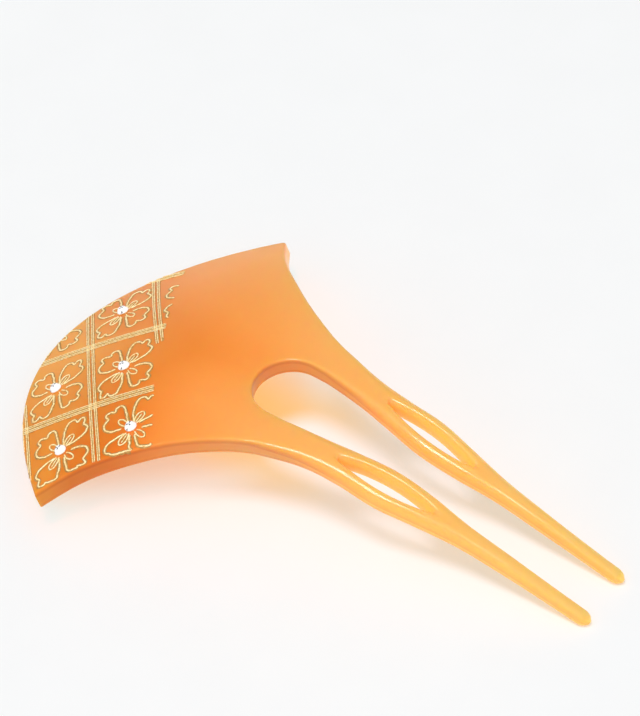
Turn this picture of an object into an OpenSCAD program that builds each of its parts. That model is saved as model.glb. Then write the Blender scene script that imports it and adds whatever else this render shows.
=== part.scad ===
// Two-pronged hair pin with a fan-shaped head, pressed from one plate of amber resin.
// It lies on the middle of its dome edge and on its two prong tips, with its hollow side down.
//
// Every piece is laid out on the plate before it is bent. There a place has three numbers: the
// station runs along the pin from the middle of the dome edge to the tips, across runs from the
// middle line to the sides, and height runs out of the middle of the plate's thickness.

/* [Head] */
// Width of the head, from horn to horn
head_w = 80; // [76:1:84]
// How far the horns stand back from the middle of the dome edge, along the plate
horn_back = 26.5; // [25:0.5:28]
// Radius of the bend across the head
cross_bend_r = 165; // [140:5:240]
// Radius that rounds the edges of the head
head_edge_r = 0.5; // [0.3:0.1:0.8]

/* [Prongs] */
// Length of the pin along the plate, from the dome edge to the tips
pin_l = 130; // [130:1:136]
// Radius of the round end of the slot
slot_r = 7; // [6.6:0.1:7.2]
// Station of the centre of the round end
slot_centre = 59; // [58:0.5:59.5]
// Reach of the rounding on the edges of the prongs
prong_edge_r = 2.2; // [1.6:0.1:2.4]
// Length of the round part of each tip
tip_r = 2; // [1.5:0.1:2.5]

/* [Eyes] */
// Station where the eye of a prong starts
eye_start = 75.7; // [75.2:0.1:76]
// Station where the eye ends
eye_end = 95.5; // [95:0.1:96]
// Width of the eye at its middle
eye_w = 2.8; // [2:0.1:3.2]
// Reach of the rounding on the rim of the eye
eye_edge_r = 1.3; // [0.8:0.1:1.5]

/* [Gold ornament] */
// Width of a gold line
line_w = 0.5; // [0.4:0.05:0.6]
// How far the gold stands up
gold_rise = 0.15; // [0.1:0.05:0.25]
// Distance between the two lines of a band
band_w = 1.05; // [0.9:0.05:1.3]

/* [Stones] */
// Diameter of a stone
stone_d = 2.4; // [2.2:0.1:2.6]
// Height of a stone from its flat back to its table
stone_h = 1.3; // [0.8:0.1:1.5]
// Diameter of the table
table_d = 1.2; // [1:0.1:1.5]

/* [Hidden] */

// Clearance under the gold and the stones
seat_gap = 0.05;
// A stone has this many sides at its girdle, and half as many at its table
girdle_sides = 16;
// Its girdle ends and its crown breaks at these shares of its height
girdle_share = 0.4;
break_share = 0.75;

// First column of every table below
STATION = 0;

// Bend of the plate along the pin: station, fall of the middle line in degrees
FALL = 1;
BEND = [
    [0, -25.5], [13, -24.5], [26, -20.5], [39, -12.5], [52, -2.5], [65, 6.5],
    [78, 12], [91, 15], [104, 16.5], [117, 17.5], [130, 17]
];

// Thickness of the plate: station, thickness
THICKNESS = 1;
PLATE = [[0, 3.4], [52, 3.5], [85, 4], [110, 3.5], [130, 2.4]];

// Sides of the head: station, part of the half width
SHARE = 1;
SIDE = [[horn_back, 1], [31.5, 0.86], [41.5, 0.655], [52, 0.4775], [62.5, 0.35625]];

// A prong: station, distance of its middle from the middle line, half width
MIDDLE = 1;
HALF_W = 2;
PRONG = [
    [62.5, 10.55, 3.7], [70, 9.1, 3.3], [78, 8.05, 3.65], [86, 7.4, 4.15], [93.5, 6.8, 3.4],
    [101.5, 6.45, 2.3], [112, 6.1, 1.75], [121, 5.9, 1.5], [130, 5.75, 1.4]
];

// Edges: station, reach of the rounding, flat part of the wall as a share of the thickness
REACH = 1;
FLAT = 2;
head_flat = 1 - 2 * head_edge_r / PLATE[0][THICKNESS];
EDGES = [
    [0, head_edge_r, head_flat], [40, head_edge_r, head_flat], [59, 0.65, 0.6],
    [74, prong_edge_r, 0.12], [130, prong_edge_r, 0.1]
];

half_w = head_w / 2;
prong_start = PRONG[0][STATION];
slot_start = slot_centre - slot_r;
eye_mid = (eye_start + eye_end) / 2;
eye_half = (eye_end - eye_start) / 2;
// The tips end in a small flat, this share of the full section
tip_flat = 0.25;
// Power of the curve that rounds the edges, 2 for a circle
edge_power = 2.2;

// Number of the row of a table that a station falls in
function row_at(table, at, row = 0) =
    row < len(table) - 2 && at > table[row + 1][STATION] ? row_at(table, at, row + 1) : row;

// Slope of a column between two rows
function rise(table, column, row) =
    (table[row + 1][column] - table[row][column]) / (table[row + 1][STATION] - table[row][STATION]);

// Slope of the smooth curve through a column, at one row
function tangent(table, column, row) =
    row == 0 ? rise(table, column, 0)
    : row == len(table) - 1 ? rise(table, column, row - 1)
    : let (before = table[row][STATION] - table[row - 1][STATION])
      let (after = table[row + 1][STATION] - table[row][STATION])
      (rise(table, column, row - 1) * after + rise(table, column, row) * before) / (before + after);

// Value of a column at any station, on a smooth curve through the rows
function smooth(table, column, at) =
    let (first = table[0][STATION])
    let (last = table[len(table) - 1][STATION])
    let (x = max(first, min(last, at)))
    let (row = row_at(table, x))
    let (span = table[row + 1][STATION] - table[row][STATION])
    let (t = (x - table[row][STATION]) / span)
    table[row][column] * (1 + 2 * t) * pow(1 - t, 2)
    + tangent(table, column, row) * span * t * pow(1 - t, 2)
    + table[row + 1][column] * t * t * (3 - 2 * t)
    + tangent(table, column, row + 1) * span * t * t * (t - 1);

// Value of a column on straight lines through the rows
function straight(table, column, at) =
    let (x = max(table[0][STATION], min(table[len(table) - 1][STATION], at)))
    let (row = row_at(table, x))
    table[row][column] + (x - table[row][STATION]) * rise(table, column, row);

// Tables are given for a pin of this length, and a longer pin only gets longer prongs
table_l = 130;
function as_table(at) = at <= prong_start ? at
    : prong_start + (at - prong_start) * (table_l - prong_start) / (pin_l - prong_start);

// Share of the full section that is left in the round of a tip
function tip_share(at) =
    at <= pin_l - tip_r ? 1 : max(tip_flat, sqrt(max(0, 1 - pow((at - pin_l + tip_r) / tip_r, 2))));

function prong_middle(at) = smooth(PRONG, MIDDLE, as_table(at));
function prong_half(at) = smooth(PRONG, HALF_W, as_table(at)) * tip_share(at);
function thickness(at) = smooth(PLATE, THICKNESS, as_table(at)) * tip_share(at);

// Distance of the outer edge from the middle line
function outer_edge(at) =
    at < horn_back ? half_w - rise(SIDE, SHARE, 0) * half_w * (horn_back - at)
    : at < prong_start ? half_w * smooth(SIDE, SHARE, at) + prong_turn(at)
    : prong_middle(at) + prong_half(at);
// Turns the end of the head's side into the line of the prong's outer side
function prong_turn(at) =
    let (row = len(SIDE) - 2)
    let (share = max(0, 1 - (prong_start - at) / (prong_start - SIDE[row][STATION])))
    let (gap = PRONG[0][MIDDLE] + PRONG[0][HALF_W] - half_w * SIDE[row + 1][SHARE])
    let (prong_slope = rise(PRONG, MIDDLE, 0) + rise(PRONG, HALF_W, 0))
    let (slope_gap = prong_slope - half_w * rise(SIDE, SHARE, row))
    share * share * (gap * (3 - 2 * share) + slope_gap * (at - prong_start));

// Distance of the slot's edge from the middle line
function slot_edge(at) =
    at < slot_centre ? sqrt(max(0, slot_r * slot_r - pow(slot_centre - at, 2)))
    : let (blend = min(1, (at - slot_centre) / (prong_start - slot_centre)))
      let (x = max(at, prong_start))
      (1 - blend) * slot_r + blend * (prong_middle(x) - prong_half(x));

// Half width of the eye, a lens with pointed ends
function eye_opening(at) = eye_w / 2 * max(0, 1 - pow((at - eye_mid) / eye_half, 2));

// Distances on the plate from the edges
function from_dome(at, across) =
    let (k = horn_back / (half_w * half_w))
    (at - k * across * across) / sqrt(1 + pow(2 * k * across, 2));
// Length across the pin that holds one unit of distance from the outer edge
function outer_slant(at) =
    let (step = 0.5)
    let (slope = (outer_edge(at + step) - outer_edge(at - step)) / (2 * step))
    sqrt(1 + slope * slope);
function from_outer(at, across) = (outer_edge(at) - across) / outer_slant(at);
function from_slot(at, across) =
    at < slot_centre ? norm([slot_centre - at, across]) - slot_r : across - slot_edge(at);
function from_eye(at, across) =
    let (x = max(eye_start, min(eye_end, at)))
    norm([at - x, max(0, abs(across - prong_middle(x)) - eye_opening(x))]);

// Share of the full height at a distance from an edge
function rounding(distance, reach) =
    let (x = max(0, min(1, distance / reach)))
    pow(1 - pow(1 - x, edge_power), 1 / edge_power);

// Height of the top face over the middle of the thickness
function top_height(at, across) =
    let (reach = at < prong_start ? straight(EDGES, REACH, at)
        : min(straight(EDGES, REACH, as_table(at)), prong_half(at)))
    let (flat = straight(EDGES, FLAT, as_table(at)))
    let (dome = rounding(from_dome(at, across), head_edge_r))
    let (outer = rounding(from_outer(at, across), reach))
    let (slot = rounding(from_slot(at, across), reach))
    let (eye = rounding(from_eye(at, across), eye_edge_r))
    thickness(at) / 2 * (flat + (1 - flat) * dome * outer * slot * eye);

// Middle line of the bent plate, seen from the side: position at every step of the stations
line_step = 1;
line_n = ceil(pin_l / line_step);
function fall(at) = smooth(BEND, FALL, as_table(at));
LINE = [
    for (i = 0, x = 0, z = 0; i <= line_n + 1;
        x = x + line_step * cos(fall((i + 0.5) * line_step)),
        z = z - line_step * sin(fall((i + 0.5) * line_step)),
        i = i + 1)
        [x, z]
];
function on_line(at) =
    let (i = max(0, min(line_n, floor(at / line_step))))
    LINE[i] + (LINE[i + 1] - LINE[i]) * (at / line_step - i);

// Place of a point on the bent plate, before the pin is laid down
function bent(at, across, height) =
    let (lift = height - across * across / (2 * cross_bend_r))
    let (place = on_line(at))
    [place[0] + lift * sin(fall(at)), across, place[1] + lift * cos(fall(at))];

// Rows of the body: start on the middle line or the slot's edge, end on the outer edge.
// The first rows round the dome edge, then come the head, the round end of the slot and the prong.
axis_stations = [
    0, 0.15 * head_edge_r, 0.5 * head_edge_r, 1.1 * head_edge_r, 4, 9, 15, 21, 27, 33, 39, 44.5,
    slot_start - 4, slot_start - 1.6, slot_start - 0.7, slot_start - 0.2
];
slot_angles = [0, 13, 27, 42, 58, 74, 90];
prong_stations = [
    62.5, 66, 69.5, 73, eye_start, 76.7, 78.3, 80.5, 83, eye_mid, 88.5, 91, 93, 94.6, eye_end,
    97.5, 100.5, 104, 108, 112, 116.5, 121, pin_l - 6, pin_l - 3.6, pin_l - tip_r,
    pin_l - 0.6 * tip_r, pin_l - 0.3 * tip_r, pin_l - 0.1 * tip_r, pin_l
];
// Outer stations move from the horn to the slot's end while the axis stations go there
outer_lead = 2;
prong_lead = 1;
outer_pace = (slot_start + outer_lead - horn_back) / slot_start;
ROWS = concat(
    [for (at = axis_stations) [[at, 0], horn_back + outer_pace * at]],
    [for (a = slot_angles)
        [[slot_centre - slot_r * cos(a), slot_r * sin(a)],
            slot_start + outer_lead + (prong_start - prong_lead - slot_start - outer_lead) * a / 90]],
    [for (at = prong_stations) [[at, slot_edge(at)], at]]
);
row_n = len(ROWS);
slot_row = len(axis_stations);
eye_row = slot_row + len(slot_angles) + search(eye_start, prong_stations)[0];
eye_last_row = slot_row + len(slot_angles) + search(eye_end, prong_stations)[0];
tip_row = row_n - 1;

// How much a row curves with the dome edge: all of it at the first row, none at the slot
function row_curve(row) = max(0, 1 - ROWS[row][0][0] / slot_start);
// Point of a row at a share of the way out, as station and across
function row_point(row, share) =
    let (start = ROWS[row][0])
    let (end = [ROWS[row][1], outer_edge(ROWS[row][1])])
    let (curve = row_curve(row))
    [start[0] + (end[0] - start[0]) * ((1 - curve) * share + curve * share * share),
     start[1] + (end[1] - start[1]) * share];

// Points of a strip across: close together next to a wall, even where there is none
strip_n = 9;
function has_eye(row) = row >= eye_row && row <= eye_last_row;
function near_share(step, walled, reach, width) =
    walled ? min([0, 0.1, 0.35, 0.8][step] * reach / width, 0.12 * step) : step / 8;
function strip_share(i, wall_before, wall_after, reach, width) =
    i <= 3 ? near_share(i, wall_before, reach, width)
    : i == 4 ? 0.5
    : 1 - near_share(8 - i, wall_after, reach, width);

// A row of points across one half of the pin: an inner strip and an outer strip
function row_points(row) =
    let (start = row_point(row, 0))
    let (end = row_point(row, 1))
    let (width = norm(end - start))
    let (at = end[0])
    let (reach = straight(EDGES, REACH, at))
    let (open = has_eye(row) ? eye_opening(at) / width : 0)
    let (middle = has_eye(row) ? (prong_middle(at) - start[1]) / width : 0.5)
    concat(
        [for (i = [0 : strip_n - 1])
            row_point(row, (middle - open)
                * strip_share(i, row >= slot_row, has_eye(row), reach, width / 2))],
        [for (i = [0 : strip_n - 1])
            row_point(row, (middle + open) + (1 - middle - open)
                * strip_share(i, has_eye(row), true, reach, width / 2))]
    );
column_n = 2 * strip_n;
PLAN = [for (row = [0 : row_n - 1]) row_points(row)];
HEIGHT = [for (row = [0 : row_n - 1]) [for (p = PLAN[row]) top_height(p[0], p[1])]];

// Points of the body as bent, before the pin is laid down: near and far half, top and bottom
function body_raw() = [
    for (side = [1, -1])
        for (face = [1, -1])
            for (row = [0 : row_n - 1])
                for (column = [0 : column_n - 1])
                    let (p = PLAN[row][column])
                    bent(p[0], side * p[1], face * HEIGHT[row][column])
];
BODY_RAW = body_raw();

// Laying the pin down: it turns until its head and its tips rest on the same level
lay_split = pin_l / 2;
// Distance between the two places that the pin rests on, near enough for the turn to settle
rest_span = 0.96 * pin_l;
// No point that starts out higher than this comes to rest on the floor
rest_top = 6;
function turned(p, angle) =
    [p[0] * cos(angle) - p[2] * sin(angle), p[1], p[0] * sin(angle) + p[2] * cos(angle)];
function lowest(points, angle, head) =
    min([for (p = points) if ((p[0] < lay_split) == head) turned(p, angle)[2]]);
function lay_angle(points, angle, tries) =
    tries == 0 ? angle
    : lay_angle(points,
        angle + asin((lowest(points, angle, true) - lowest(points, angle, false)) / rest_span),
        tries - 1);
RESTING = [for (p = BODY_RAW) if (p[2] < rest_top) p];
lay = lay_angle(RESTING, 0, 4);
floor_z = min([for (p = RESTING) turned(p, lay)[2]]);
first_x = min([for (p = RESTING) turned(p, lay)[0]]);
last_x = max([for (p = RESTING) turned(p, lay)[0]]);
function laid(p) = turned(p, lay) - [(first_x + last_x) / 2, 0, floor_z];
// Place of a point of the plate in the finished pin
function placed(at, across, height) = laid(bent(at, across, height));

// Number of a point of the body. Halves share the middle line, and strips meet outside the eye.
function corner(side, face, row, column) =
    let (half = column == 0 && row <= slot_row ? 0 : side)
    let (own = column == strip_n && (row <= eye_row || row >= eye_last_row) ? strip_n - 1 : column)
    ((half * 2 + face) * row_n + row) * column_n + own;
function tiles(a, b, c, d, flip) = flip ? [[a, b, c], [a, c, d]] : [[a, c, b], [a, d, c]];
function flat_list(lists) = [for (list = lists) each list];

function face_tiles(side, face) = flat_list([
    for (row = [0 : row_n - 2])
        for (column = [0 : column_n - 2])
            if (column != strip_n - 1)
                tiles(corner(side, face, row, column), corner(side, face, row + 1, column),
                    corner(side, face, row + 1, column + 1), corner(side, face, row, column + 1),
                    side != face)
]);
// A wall joins top and bottom along one column, or along the first or last row
function column_wall(side, column, first, last, flip) = flat_list([
    for (row = [first : last - 1])
        tiles(corner(side, 0, row, column), corner(side, 0, row + 1, column),
            corner(side, 1, row + 1, column), corner(side, 1, row, column), (side == 1) != flip)
]);
function row_wall(side, row, flip) = flat_list([
    for (column = [0 : column_n - 2])
        if (column != strip_n - 1)
            tiles(corner(side, 0, row, column), corner(side, 0, row, column + 1),
                corner(side, 1, row, column + 1), corner(side, 1, row, column), (side == 1) != flip)
]);
BODY_TILES = flat_list([
    for (side = [0, 1])
        concat(
            face_tiles(side, 0),
            face_tiles(side, 1),
            column_wall(side, column_n - 1, 0, tip_row, false),
            column_wall(side, 0, slot_row, tip_row, true),
            column_wall(side, strip_n - 1, eye_row, eye_last_row, false),
            column_wall(side, strip_n, eye_row, eye_last_row, true),
            row_wall(side, 0, false),
            row_wall(side, tip_row, true)
        )
]);

module body() {
    color("orange")
        polyhedron([for (p = BODY_RAW) laid(p)], BODY_TILES, convexity = 10);
}

// The ornament keeps inside the head's edge and stops at the line where the print ends
print_margin = 0.45;
PRINT_END = [[43.5, -22.5], [27, 0.9], [26.5, 3], [12.5, 25]];
function left_of(p, a, b) = (b[0] - a[0]) * (p[1] - a[1]) - (b[1] - a[1]) * (p[0] - a[0]) > 0;
function printed(p) =
    from_dome(p[0], p[1]) > print_margin
    && from_outer(p[0], abs(p[1])) > print_margin
    && (p[1] < PRINT_END[1][1] ? left_of(p, PRINT_END[0], PRINT_END[1])
        : left_of(p, PRINT_END[2], PRINT_END[3]));

// Every segment of a path is cut finely, so that a line can stop close to a limit
cuts = 8;
function cut(path) = concat(
    [for (i = [0 : len(path) - 2])
        for (k = [0 : cuts - 1])
            path[i] + (path[i + 1] - path[i]) * k / cuts],
    [path[len(path) - 1]]);

// The parts of a finely cut path that are kept. They have their ends and the path's own corners,
// but no corner so near to an end that a segment would be shorter than a line's width.
end_cuts = 3;
function run_end(keep, i) = i < len(keep) && keep[i] ? run_end(keep, i + 1) : i;
function parts(fine, keep) = [
    for (i = [0 : len(fine) - 1])
        if (keep[i] && (i == 0 || !keep[i - 1]))
            let (last = run_end(keep, i) - 1)
            if (last - i > end_cuts)
                [for (j = [i : last])
                    if (j == i || j == last
                        || j % cuts == 0 && j - i >= end_cuts && last - j >= end_cuts)
                        fine[j]]
];

// A raised line along a path on the head's top face
module raised_line(path, width) {
    n = len(path);
    seat = [for (p = path) thickness(p[0]) / 2 + seat_gap];
    sideways = [
        for (i = [0 : n - 1])
            let (way = path[min(i + 1, n - 1)] - path[max(i - 1, 0)])
            [-way[1], way[0]] / norm(way) * width / 2
    ];
    points = [
        for (i = [0 : n - 1])
            for (place = [[1, 0], [1, 1], [-1, 1], [-1, 0]])
                let (p = path[i] + sideways[i] * place[0])
                placed(p[0], p[1], seat[i] + gold_rise * place[1])
    ];
    sides = [
        for (i = [0 : n - 2])
            for (j = [0 : 3])
                each tiles(4 * i + j, 4 * i + (j + 1) % 4, 4 * i + 4 + (j + 1) % 4, 4 * i + 4 + j, false)
    ];
    ends = [[0, 1, 2], [0, 2, 3], [4 * n - 4, 4 * n - 2, 4 * n - 3], [4 * n - 4, 4 * n - 1, 4 * n - 2]];
    polyhedron(points, concat(sides, ends), convexity = 4);
}

// Bands of the lattice: station and across of both ends, and of a place half way
BAND_FROM = 0;
BAND_BY = 1;
BAND_TO = 2;
BANDS = [
    [[6.7, -20.4], [15.5, -29.7], [24, -39.1]],
    [[0, 8.5], [17.5, -10], [36.5, -31.4]],
    [[7, 21.6], [17, 11.3], [27.5, 0.5]],
    [[12, -26.9], [25.6, -18.3], [37, -10.1]],
    [[0.6, -9.4], [12.5, -2.1], [25.5, 5.9]],
    [[6, 19.6], [9.7, 22], [13.5, 24.4]]
];
band_step = 2.6;

// A band bends gently through its three places
function band_point(band, t) =
    band[BAND_FROM] * (1 - t) * (1 - 2 * t) + band[BAND_BY] * 4 * t * (1 - t)
    + band[BAND_TO] * t * (2 * t - 1);
function band_line(band, shift) =
    let (n = ceil(norm(band[BAND_TO] - band[BAND_FROM]) / band_step))
    [for (i = [0 : n])
        let (way = band_point(band, (i + 0.5) / n) - band_point(band, (i - 0.5) / n))
        band_point(band, i / n) + [-way[1], way[0]] / norm(way) * shift];

module gold_bands() {
    color("gold")
        for (band = BANDS)
            for (side = [-1, 1]) {
                fine = cut(band_line(band, side * band_w / 2));
                for (part = parts(fine, [for (p = fine) printed(p)]))
                    raised_line(part, line_w);
            }
}

// Flowers: station and across of each centre. All but the last two carry a stone.
FLOWERS = [
    [26, -30], [12.3, -15.4], [37.7, -21.5], [24.9, -7.7], [10, 8.6], [-2.2, 0.1], [22.3, 16.6]
];
// Directions of the petals: two lie across the pin, and two almost along it
long_turn = 94;
broad_turn = -15;
// Outlines of the two kinds of petal, each with three lobes: offset from the petal's middle
// line, distance from the flower's centre
LONG_PETAL = [
    [-1, 2.1], [-2, 3.5], [-2.6, 5], [-2.2, 6.3], [-0.8, 7.4], [0.1, 8.5], [0.8, 7.8],
    [1.9, 7.8], [2.7, 7], [2.6, 5.4], [1.9, 3.6], [0.9, 2]
];
BROAD_PETAL = [
    [-0.9, 2.4], [-1.9, 4.1], [-2.6, 5.7], [-2.3, 6.8], [-0.7, 6.9], [0.3, 7.5], [1.1, 7.1],
    [1.6, 6.1], [2.7, 5.5], [3.3, 4.2], [2.8, 2.9], [1.5, 1.9]
];

// A petal stops short of a band
petal_gap = 0.15;
function from_segment(p, a, b) =
    let (share = max(0, min(1, (p - a) * (b - a) / ((b - a) * (b - a)))))
    norm(p - a - (b - a) * share);
function from_band(p, band) = min(
    from_segment(p, band[BAND_FROM], band[BAND_BY]), from_segment(p, band[BAND_BY], band[BAND_TO]));
function clear_of_bands(p) =
    min([for (band = BANDS) from_band(p, band)]) > band_w / 2 + line_w + petal_gap;

// A petal that would cross the outer edge is pressed together in front of it
squeeze_from = 1.8;
squeezed_to = 0.6;
function squeezed(p) =
    let (gap = from_outer(p[0], abs(p[1])))
    let (room = squeeze_from - squeezed_to)
    let (nearer = squeezed_to + room * exp((gap - squeeze_from) / room))
    gap > squeeze_from ? p
    : [p[0], sign(p[1]) * (abs(p[1]) - (nearer - gap) * outer_slant(p[0]))];

function petal(centre, turn, outline) =
    let (along = [cos(turn), sin(turn)])
    let (across = [-sin(turn), cos(turn)])
    [for (p = outline) squeezed(centre + across * p[0] + along * p[1])];
function flower(centre) = [
    for (half_turn = [0, 180])
        each [petal(centre, long_turn + half_turn, LONG_PETAL),
            petal(centre, broad_turn + half_turn, BROAD_PETAL)]
];

module gold_flowers() {
    color("gold")
        for (centre = FLOWERS)
            for (outline = flower(centre)) {
                fine = cut(outline);
                for (part = parts(fine, [for (p = fine) printed(p) && clear_of_bands(p)]))
                    raised_line(part, line_w);
            }
}

// A flat-backed stone with a table and facets, on the head's top face
module stone(centre) {
    seat = thickness(centre[0]) / 2 + seat_gap;
    base = placed(centre[0], centre[1], seat);
    normal = cross(placed(centre[0] + 1, centre[1], seat) - placed(centre[0] - 1, centre[1], seat),
        placed(centre[0], centre[1] + 1, seat) - placed(centre[0], centre[1] - 1, seat));
    up = normal / norm(normal);
    lean = acos(up[2]);
    turn = atan2(up[1], up[0]);
    color("white")
        translate(base)
            rotate([0, 0, turn])
                rotate([0, lean, 0])
                    hull() {
                        cylinder(d = stone_d, h = stone_h * girdle_share, $fn = girdle_sides);
                        rotate([0, 0, 360 / girdle_sides])
                            cylinder(d = (stone_d + table_d) / 2, h = stone_h * break_share,
                                $fn = girdle_sides / 2);
                        cylinder(d = table_d, h = stone_h, $fn = girdle_sides / 2);
                    }
}

module stone_1() {
    stone(FLOWERS[0]);
}
module stone_2() {
    stone(FLOWERS[1]);
}
module stone_3() {
    stone(FLOWERS[2]);
}
module stone_4() {
    stone(FLOWERS[3]);
}
module stone_5() {
    stone(FLOWERS[4]);
}

body();
gold_bands();
gold_flowers();
stone_1();
stone_2();
stone_3();
stone_4();
stone_5();
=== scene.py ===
import math
import random

import bmesh
import bpy
import numpy as np
from mathutils import Matrix, Vector


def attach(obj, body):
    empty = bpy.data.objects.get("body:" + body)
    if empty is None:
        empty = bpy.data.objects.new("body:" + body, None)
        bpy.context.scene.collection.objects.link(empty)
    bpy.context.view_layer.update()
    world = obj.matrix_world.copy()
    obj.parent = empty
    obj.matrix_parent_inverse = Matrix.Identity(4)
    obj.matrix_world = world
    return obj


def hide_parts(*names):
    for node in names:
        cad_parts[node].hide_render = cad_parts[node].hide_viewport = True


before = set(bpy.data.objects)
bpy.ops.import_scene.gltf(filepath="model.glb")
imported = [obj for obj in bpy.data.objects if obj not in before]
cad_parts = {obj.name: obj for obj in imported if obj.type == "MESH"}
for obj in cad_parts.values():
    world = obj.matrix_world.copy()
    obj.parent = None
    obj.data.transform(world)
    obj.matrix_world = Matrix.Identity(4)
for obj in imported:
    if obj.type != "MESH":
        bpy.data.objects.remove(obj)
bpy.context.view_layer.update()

MM = 0.001

# The plate before it is bent: station along the pin, across, and height.
# These are the design's own tables and curves, drawn here on a finer mesh. Sizes are in mm.

HEAD_W, HORN_BACK, CROSS_R, HEAD_EDGE = 80.0, 26.5, 165.0, 0.5
PIN_L, SLOT_R, SLOT_CENTRE, PRONG_EDGE, TIP_R = 130.0, 7.0, 59.0, 2.2, 2.0
EYE_START, EYE_END, EYE_W, EYE_EDGE = 75.7, 95.5, 2.8, 1.3
HALF_W = HEAD_W / 2
PRONG_START = 62.5
SLOT_START = SLOT_CENTRE - SLOT_R
EYE_MID, EYE_HALF = (EYE_START + EYE_END) / 2, (EYE_END - EYE_START) / 2
# share of the full section that is left at the tips, and power of the curve that rounds the edges
TIP_FLAT, EDGE_POWER = 0.25, 2.2
# distance between the prongs' resting places and the head's, as a share of the length
REST_SPAN = 0.96
# width of the painted shade line along the edges
RIM_LINE = 0.45

# station, fall of the middle line in degrees
BEND = np.array([
    [0, -25.5], [13, -24.5], [26, -20.5], [39, -12.5], [52, -2.5], [65, 6.5],
    [78, 12], [91, 15], [104, 16.5], [117, 17.5], [130, 17]])
# station, thickness
PLATE = np.array([[0, 3.4], [52, 3.5], [85, 4], [110, 3.5], [130, 2.4]])
# station, part of the half width
SIDE = np.array([[HORN_BACK, 1], [31.5, 0.86], [41.5, 0.655], [52, 0.4775], [62.5, 0.35625]])
# station, distance of a prong's middle from the middle line, half width
PRONG = np.array([
    [62.5, 10.55, 3.7], [70, 9.1, 3.3], [78, 8.05, 3.65], [86, 7.4, 4.15], [93.5, 6.8, 3.4],
    [101.5, 6.45, 2.3], [112, 6.1, 1.75], [121, 5.9, 1.5], [130, 5.75, 1.4]])
# station, reach of the rounding, flat part of the wall
HEAD_FLAT = 1 - 2 * HEAD_EDGE / PLATE[0, 1]
EDGES = np.array([
    [0, HEAD_EDGE, HEAD_FLAT], [40, HEAD_EDGE, HEAD_FLAT], [59, 0.65, 0.6],
    [74, PRONG_EDGE, 0.12], [130, PRONG_EDGE, 0.1]])


def smooth(table, column, at):
    """A column of a table at any station, on a smooth curve through its rows."""
    xs, ys = table[:, 0], table[:, column]
    x = np.clip(at, xs[0], xs[-1])
    row = np.clip(np.searchsorted(xs, x) - 1, 0, len(xs) - 2)
    rises = np.diff(ys) / np.diff(xs)
    gaps = np.diff(xs)
    slopes = np.empty(len(xs))
    slopes[0], slopes[-1] = rises[0], rises[-1]
    slopes[1:-1] = (rises[:-1] * gaps[1:] + rises[1:] * gaps[:-1]) / (gaps[:-1] + gaps[1:])
    span = gaps[row]
    t = (x - xs[row]) / span
    return (ys[row] * (1 + 2 * t) * (1 - t) ** 2 + slopes[row] * span * t * (1 - t) ** 2
            + ys[row + 1] * t * t * (3 - 2 * t) + slopes[row + 1] * span * t * t * (t - 1))


def straight(table, column, at):
    return np.interp(at, table[:, 0], table[:, column])


def tip_share(at):
    round_part = np.clip((at - PIN_L + TIP_R) / TIP_R, 0, 1)
    return np.maximum(TIP_FLAT, np.sqrt(1 - round_part ** 2))


def prong_middle(at):
    return smooth(PRONG, 1, at)


def prong_half(at):
    return smooth(PRONG, 2, at) * tip_share(at)


def thickness(at):
    return smooth(PLATE, 1, at) * tip_share(at)


def outer_edge(at):
    """Distance of the outer edge from the middle line. The head's side turns into the prong's."""
    at = np.asarray(at, float)
    first_rise = (SIDE[1, 1] - SIDE[0, 1]) / (SIDE[1, 0] - SIDE[0, 0])
    front = HALF_W - first_rise * HALF_W * (HORN_BACK - at)
    (turn_start, share_start), (_, share_end) = SIDE[-2:]
    side_slope = HALF_W * (share_end - share_start) / (PRONG_START - turn_start)
    first_row, next_row = PRONG[:2]
    prong_slope = (next_row[1:] - first_row[1:]).sum() / (next_row[0] - first_row[0])
    share = np.clip((at - turn_start) / (PRONG_START - turn_start), 0, 1)
    gap = first_row[1:].sum() - HALF_W * share_end
    turn = gap * (3 - 2 * share) + (prong_slope - side_slope) * (at - PRONG_START)
    middle = HALF_W * smooth(SIDE, 1, at) + share * share * turn
    back = prong_middle(at) + prong_half(at)
    return np.where(at < HORN_BACK, front, np.where(at < PRONG_START, middle, back))


def slot_edge(at):
    """Distance of the slot's edge from the middle line."""
    at = np.asarray(at, float)
    round_end = np.sqrt(np.maximum(0, SLOT_R ** 2 - (SLOT_CENTRE - at) ** 2))
    blend = np.clip((at - SLOT_CENTRE) / (PRONG_START - SLOT_CENTRE), 0, 1)
    x = np.maximum(at, PRONG_START)
    leg = (1 - blend) * SLOT_R + blend * (prong_middle(x) - prong_half(x))
    return np.where(at < SLOT_CENTRE, round_end, leg)


def eye_opening(at):
    return EYE_W / 2 * np.maximum(0, 1 - ((at - EYE_MID) / EYE_HALF) ** 2)


def from_dome(at, across):
    k = HORN_BACK / HALF_W ** 2
    return (at - k * across ** 2) / np.sqrt(1 + (2 * k * across) ** 2)


def outer_slant(at):
    """Length across the pin that holds one unit of distance from the outer edge."""
    step = 0.5
    slope = (outer_edge(at + step) - outer_edge(at - step)) / (2 * step)
    return np.sqrt(1 + slope ** 2)


def from_outer(at, across):
    return (outer_edge(at) - across) / outer_slant(at)


def from_slot(at, across):
    return np.where(at < SLOT_CENTRE, np.hypot(SLOT_CENTRE - at, across) - SLOT_R,
                    across - slot_edge(at))


def from_eye(at, across):
    x = np.clip(at, EYE_START, EYE_END)
    return np.hypot(at - x, np.maximum(0, np.abs(across - prong_middle(x)) - eye_opening(x)))


def rounding(distance, reach):
    x = np.clip(distance / reach, 0, 1)
    return (1 - (1 - x) ** EDGE_POWER) ** (1 / EDGE_POWER)


def edge_reach(at):
    reach = straight(EDGES, 1, at)
    return np.where(at < PRONG_START, reach, np.minimum(reach, prong_half(at)))


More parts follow.
